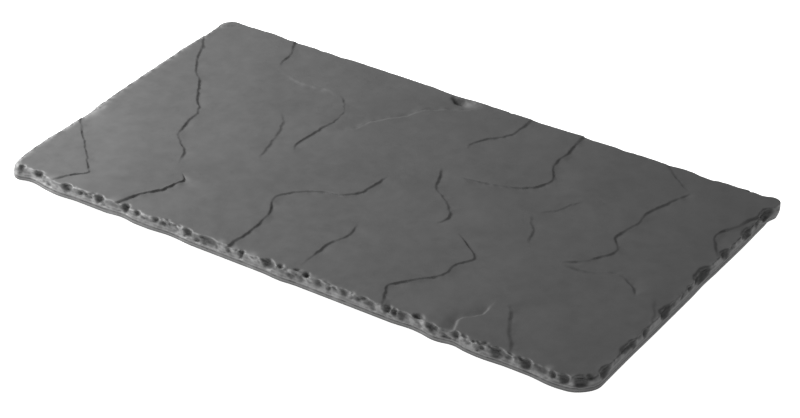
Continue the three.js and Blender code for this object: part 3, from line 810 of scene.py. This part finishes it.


# The uncut rim row by row: rings, directions in, room for cuts, the glaze's mottle, the paleness of glaze
# break and painted light, and the painted shade
def rimBlank(along):
    shape, knob = slabShape, slabShape["knob"]
    points, outs, corner = rimPlaces(along)
    swell = swellAt(along) - shape["trim"]
    less, least = shape["cornerBand"]
    reach = np.where(corner > 0, np.clip(corner - less, least, shape["band"]), shape["band"])
    wide = int(shape["bandBlend"] / shape["rimStep"])
    reach = np.mean([np.roll(reach, shift) for shift in range(-wide, wide + 1)], axis=0)
    wander = wavers(points, shape["wander"])
    paleLight = {zone: byFacing(outs, values) for zone, values in shape["glazeBreakAndLight"].items()}
    darker = {zone: byFacing(outs, values) for zone, values in shape["paintedShade"].items()}
    crown, step = crownAt(along, outs), byFacing(outs, shape["stepDepth"])
    axisInset = shape["dressedInset"] * step + crown + shape["axis"][0]
    axisHeight = topFace - crown - shape["axis"][1]
    plumb = smooth(1 - np.abs(apart(along, onEdge("back", knob["place"]))) / knob["reach"])
    rows = []
    for inset, height, follow, lie, zone, pale in rimRows(crown, step, reach):
        undercut = knob["undercut"] * np.clip(1 - height / knob["height"], 0, 1) ** knob["curve"]
        stand = np.minimum(inset, knob["fill"]) - undercut
        flat = points + outs * (swell - inset + plumb * stand)[:, None]
        level = height + follow * wander - lie * reliefAt(flat)
        ring = np.column_stack([flat, level])
        inside, below = np.maximum(axisInset - inset, 0), np.maximum(height - axisHeight, 0)
        room = np.hypot(inside, below)
        inward = np.column_stack([-outs * (inside / room)[:, None], -below / room])
        mottle = np.clip(wavers(ring, shape["mottle"], 0.5), 0, 1)
        # paleness of glaze break and painted light, and painted shade, by zone and side
        brow, paintedShade = pale * paleLight.get(zone, 0) * mottle, darker.get(zone, 0) * (1 - mottle)
        rows.append((ring, inward, shape["cutShare"] * room, mottle, brow, paintedShade))
    return [np.stack(values) for values in zip(*rows)]


# How deep the chips are in each row
def cutDepth(along, rings, inward, rooms):
    shape = slabShape
    easing = byFacing(rimPlaces(along)[1], shape["easing"])
    start = np.array(shape["cutStart"])
    depth = carveDepth(np.tile(along, len(rings)), rings.reshape(-1, 3), inward.reshape(-1, 3))
    depth = np.minimum(depth.reshape(rooms.shape), rooms)
    depth = depth * depth / (depth + easing)
    depth[:len(start)] *= start[:, None]
    depth = (np.roll(depth, 1, axis=1) + 2 * depth + np.roll(depth, -1, axis=1)) / 4  # fettled along and up
    padded = np.concatenate([depth[:1], depth, 0 * depth[-1:]])
    return (padded[:-2] + 2 * depth + padded[2:]) / 4


# Painted shade in the chips: from which depth it shows, over which it sets in, share that isn't mottled,
# share that is spread along the rim and up its rows, and how it thins with each row
chipShadeSpread = {"start": 0.12, "span": 0.85, "even": 0.65, "run": 0.6, "along": 1, "up": 2, "thinning": 0.2}


def chipShadeAt(depth, mottles):
    pool, run, even = chipShadeSpread, chipShadeSpread["run"], chipShadeSpread["even"]
    widest = np.max([np.roll(depth, shift, axis=1) for shift in range(pool["along"] + 1)], axis=0)
    lifted = []
    for rise in range(pool["up"] + 1):
        lifted.append(np.pad(widest, ((rise, 0), (0, 0)))[:len(widest)] * (1 - pool["thinning"] * rise))
    shadeMask = (1 - run) * depth + run * np.max(lifted, axis=0)
    return np.clip((shadeMask - pool["start"]) / pool["span"], 0, 1) * (even + (1 - even) * mottles)


# The carved slab: one face below, quads between the rim's rows and triangles inside the last row
def slabBlank():
    shape = slabShape
    count = int(rimLength / shape["rimStep"])
    along = np.arange(count) * rimLength / count
    rings, inward, rooms, mottles, brows, chipped = rimBlank(along)
    carved = slice(shape["lowerSteps"] + 1 + len(shape["strip"]), -1)  # rows above the strip
    depth = cutDepth(along, rings[carved], inward[carved], rooms[carved])
    # painted shade in the chips
    chipped[carved] += chipShadeAt(depth, mottles[carved])
    brows *= 1 - np.clip(shape["paleEdge"] * chipped, 0, 1)
    flat = rings[:, :, :2].reshape(-1, 2)
    # painted highlights, and the painted shade in the pit
    brows = brows.ravel() + patchesAt(flat, shape["paintedHighlights"])
    chipped = chipped.ravel() + patchesAt(flat, shape["paintedPitShade"])
    rings[carved] += inward[carved] * depth[:, :, None]
    ring = rings[-1, :, :2]
    places = np.concatenate([ring, topPlaces(ring)])
    loop = [(index, (index + 1) % count) for index in range(count)]
    made = geometry.delaunay_2d_cdt([Vector(place) for place in places], loop, [], 1, 1e-5)
    topPoints = np.array([tuple(point) for point in made[0]])
    topSpots = np.column_stack([topPoints, topFace - reliefAt(topPoints)])
    last = (len(rings) - 1) * count
    onTop = {}
    for index, sources in enumerate(made[3]):
        onTop.update({index: last + source for source in sources if source < count})
    extra = [index for index in range(len(topPoints)) if index not in onTop]
    onTop.update({index: last + count + number for number, index in enumerate(extra)})
    spots = np.concatenate([rings.reshape(-1, 3), topSpots[extra]]) + [0, 0, slabBase]
    faces = [list(range(count))[::-1]]
    for low in range(0, last, count):
        high = low + count
        faces += [(low + a, low + b, high + b, high + a) for a, b in loop]
    faces += [[onTop[corner] for corner in face] for face in made[2]]
    mesh = newMesh("slateSlab", spots * mm, faces)
    # painted shade of the chips, rim zones, pit and clefts
    addLayer(mesh, "chipped", np.concatenate([chipped, cleftShadeAt(topPoints[extra])]))
    addLayer(mesh, "brow", np.concatenate([brows, np.zeros(len(extra))]))
    return newPiece("slateSlab", mesh)


slab = slabBlank()
print("slab carved:", len(slab.data.polygons), "faces")

# Fine unevenness of the fired surface, stronger in the chips, in millimetres
grainShape = {
    "chipDepth": 0.16, "chipWave": 1.1, "chipNoise": (3, 0.6),  # detail and roughness
    "faceDepth": 0.05, "faceWave": 5, "faceNoise": (2, 0.5),
    "seed": 6.0, "faceSeed": 3,  # added to the seed
    "setIn": 2500,  # how sharply it sets in above the underside
}


def grainTree(settings):
    names = ("chipDepth", "chipScale", "faceDepth", "faceScale", "flatBelow", "seed")
    tree, board, given = newTree("firedGrain", **dict.fromkeys(names, "Float"))
    chipDepth, chipScale, faceDepth, faceScale, flatBelow, seed = (given.out(name) for name in names)
    place = board.add("GeometryNodeInputPosition")
    height = board.add("SeparateXYZ", {"Vector": place}).out("Z")
    above = ((height - flatBelow) * settings["setIn"]).held()
    facing = board.add("GeometryNodeInputNormal")
    chipped = board.add("GeometryNodeInputNamedAttribute", {"Name": "chipped"}, data_type="FLOAT")
    rough = board.noise(place, chipScale, *settings["chipNoise"], W=seed)
    slow = board.noise(place, faceScale, *settings["faceNoise"], W=seed + settings["faceSeed"])
    swing = rough.swing() * chipped * chipDepth + slow.swing() * faceDepth
    shift = board.add("VectorMath", {0: facing, "Scale": swing * above}, operation="SCALE")
    uneven = board.add("GeometryNodeSetPosition", {"Geometry": given.out("geometry"), "Offset": shift})
    closeTree(board, uneven, given)
    return tree


runTree(slab, grainTree(grainShape), {
    "chipDepth": grainShape["chipDepth"] * mm * 2,
    "chipScale": 1 / (grainShape["chipWave"] * mm),
    "faceDepth": grainShape["faceDepth"] * mm * 2,
    "faceScale": 1 / (grainShape["faceWave"] * mm),
    "flatBelow": slabBase * mm,
    "seed": grainShape["seed"],
    "finish": slatePaint,
})

# How far each point stands out as an arris or lies in a hollow, from the bend of the surface, in millimetres.
# Arrises are painted paler, partly as worn glaze and partly as painted highlight, and hollows get painted
# shade.
wearAndShadingShape = {
    "sharpest": 2.2,  # bend that counts in full
    "kept": 0.6,  # share that a point keeps as it is evened out
    "smoothed": 0.85, "smoothFrom": 12, "smoothOver": 8,  # share of it taken off near the right edge, and where
}


def markWearAndShading(mesh, settings):
    shape = bmesh.new()
    shape.from_mesh(mesh)
    bmesh.ops.triangulate(shape, faces=shape.faces)
    shape.verts.index_update()
    pairs = np.array([[vert.index for vert in link.verts] for link in shape.edges])
    bends = np.array([link.calc_face_angle_signed(0) * link.calc_length() for link in shape.edges])
    corners = np.array([[vert.index for vert in face.verts] for face in shape.faces])
    areas = np.array([face.calc_area() for face in shape.faces])
    bend, area = np.zeros(len(shape.verts)), np.full(len(shape.verts), 1e-12)
    for side in (0, 1):
        np.add.at(bend, pairs[:, side], bends / 4)
    for side in (0, 1, 2):
        np.add.at(area, corners[:, side], areas / 3)
    wearAndShading = np.clip(bend / area * mm / settings["sharpest"], -1, 1)
    kept = settings["kept"]
    spread, links = np.zeros_like(wearAndShading), np.zeros_like(wearAndShading)
    for side in (0, 1):
        np.add.at(spread, pairs[:, side], wearAndShading[pairs[:, 1 - side]])
        np.add.at(links, pairs[:, side], 1)
    wearAndShading = kept * wearAndShading + (1 - kept) * spread / np.maximum(links, 1)
    across = np.array([vert.co.x for vert in shape.verts]) / mm
    rightward = smooth((across - halfLength + settings["smoothFrom"]) / settings["smoothOver"])
    wearAndShading *= 1 - settings["smoothed"] * rightward
    shape.to_mesh(mesh)
    shape.free()
    addLayer(mesh, "arrisWearAndShading", wearAndShading)


def shadePiece(piece, sharpAngle):
    piece.data.shade_smooth()
    piece.data.set_sharp_from_angle(angle=math.radians(sharpAngle))


markWearAndShading(slab.data, wearAndShadingShape)
shadePiece(slab, slabShape["sharpAngle"])
print("slab finished:", len(slab.data.polygons), "triangles")

# The stick-on feet and their adhesive discs, in millimetres: radius and height from the middle outwards
footShape = {
    "profile": [
        (0, 0.3), (1.5, 0.28), (2.2, 0.2), (2.7, 0.05), (3, 0), (5.5, 0), (5.7, 0.04), (5.86, 0.13),
        (5.96, 0.26), (6, 0.42), (6, 0.86), (5.97, 0.95), (5.9, 1), (0, 1),
    ],
}
discShape = {
    "profile": [
        (0, 0), (5.3, 0), (5.37, 0.02), (5.4, 0.07), (5.38, 0.1), (5.4, 0.14), (5.36, 0.18), (5.3, 0.2),
        (0, 0.2),
    ],
}
cornerShape = {  # of both
    "sides": 72,
    "turn": 0.7,  # of each one against the one before, in radians
    "sharpAngle": 38,  # degrees
}


# Turns a profile, which starts and ends on the axis, into a closed mesh
def turnedMesh(name, profile, base):
    sides = cornerShape["sides"]
    spots = [(0, 0, up * mm + base) for across, up in (profile[0], profile[-1])]
    for across, up in profile[1:-1]:
        for side in range(sides):
            turn = 2 * math.pi * side / sides
            spots.append((across * mm * math.cos(turn), across * mm * math.sin(turn), up * mm + base))
    loop = [(side, (side + 1) % sides) for side in range(sides)]
    first, last = 2, len(spots) - sides
    faces = [(0, first + b, first + a) for a, b in loop] + [(1, last + a, last + b) for a, b in loop]
    for low in range(first, last, sides):
        high = low + sides
        faces += [(low + a, low + b, high + b, high + a) for a, b in loop]
    return newMesh(name, spots, faces)


def cornerTree():
    tree, board, given = newTree("cornerSet", single="Object", turn="Float")
    single = board.add("GeometryNodeObjectInfo", {"Object": given.out("single")}).out("Geometry")
    number = board.add("GeometryNodeInputIndex")
    euler = board.add("CombineXYZ", {"Z": number * given.out("turn")})
    turn = board.add("FunctionNodeEulerToRotation", {"Euler": euler})
    placed = board.add("GeometryNodeInstanceOnPoints", {
        "Points": given.out("geometry"), "Instance": single, "Rotation": turn,
    })
    closeTree(board, placed, given)
    return tree


corners = ("front_left", "front_right", "back_left", "back_right")
cornerSet = cornerTree()


def cornerPieces(name, nodes, settings, paint):
    boxes = [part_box(node) for node in nodes]
    single = newPiece(name + "Single", turnedMesh(name + "Single", settings["profile"], boxes[0][0].z))
    middles = [((low.x + high.x) / 2, (low.y + high.y) / 2, 0) for low, high in boxes]
    piece = newPiece(name, newMesh(name, middles))
    runTree(piece, cornerSet, {"single": single, "turn": cornerShape["turn"], "finish": paint})
    bpy.data.objects.remove(single)
    shadePiece(piece, cornerShape["sharpAngle"])
    return piece


footNodes = ["foot_" + corner for corner in corners]
discNodes = ["adhesive_" + corner for corner in corners]
feet = cornerPieces("siliconeFeet", footNodes, footShape, siliconePaint)
discs = cornerPieces("adhesiveDiscs", discNodes, discShape, tapePaint)
print("feet and discs placed")

for piece, nodes, slot in (
    (slab, ["slab"], "slate_ware"),
    (feet, footNodes, "silicone"),
    (discs, discNodes, "adhesive"),
):
    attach(piece, "root")
    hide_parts(*nodes)

# Studio: glowing white floor, soft light low on the left, a weaker one in front and even light all round
studio = {
    "floorSize": 6, "floorGrey": 0.9, "floorShade": 0.995,  # of its darker spots
    "floorNoise": (40, 2, 0.5), "floorRoughness": 0.9, "floorGlow": 1, "bump": (0.02, 0.0001),
    "worldStrength": 0.32,
    "lights": {  # place, diameter and power
        "softKey": ((-0.48, -0.12, 0.24), 0.24, 6.3),
        "lowFill": ((0.06, -0.75, 0.06), 0.2, 1.1),
    },
}


def makeStudio(settings):
    half = settings["floorSize"] / 2
    ends = [(-half, -half, 0), (half, -half, 0), (half, half, 0), (-half, half, 0)]
    floor = newPiece("studioFloor", newMesh("studioFloor", ends, [(0, 1, 2, 3)]))
    material, board = newFinish("floorFinish")
    paper = board.noise(board.place(), *settings["floorNoise"])
    pale = settings["floorGrey"]
    closeFinish(
        board, settings, paper,
        Base_Color=board.mix(paper, grey(pale * settings["floorShade"]), grey(pale)),
        Roughness=settings["floorRoughness"],
        Emission_Color=grey(1),
        Emission_Strength=settings["floorGlow"],
    )
    floor.data.materials.append(material)
    for name, (spot, size, power) in settings["lights"].items():
        data = bpy.data.lights.new(name, "AREA")
        data.shape = "DISK"
        data.size = size
        data.energy = power
        light = bpy.data.objects.new(name, data)
        aim = Vector(spot).to_track_quat("Z", "Y")
        light.matrix_world = Matrix.Translation(spot) @ aim.to_matrix().to_4x4()
        scene.collection.objects.link(light)
    world = bpy.data.worlds.new("studioWhite")
    world.use_nodes = True
    shell = Board(world.node_tree)
    sky = shell.add("Background", {"Color": grey(1), "Strength": settings["worldStrength"]})
    shell.add("OutputWorld", {"Surface": sky})
    scene.world = world
    scene.view_settings.view_transform = "Standard"


makeStudio(studio)
print("studio lit")
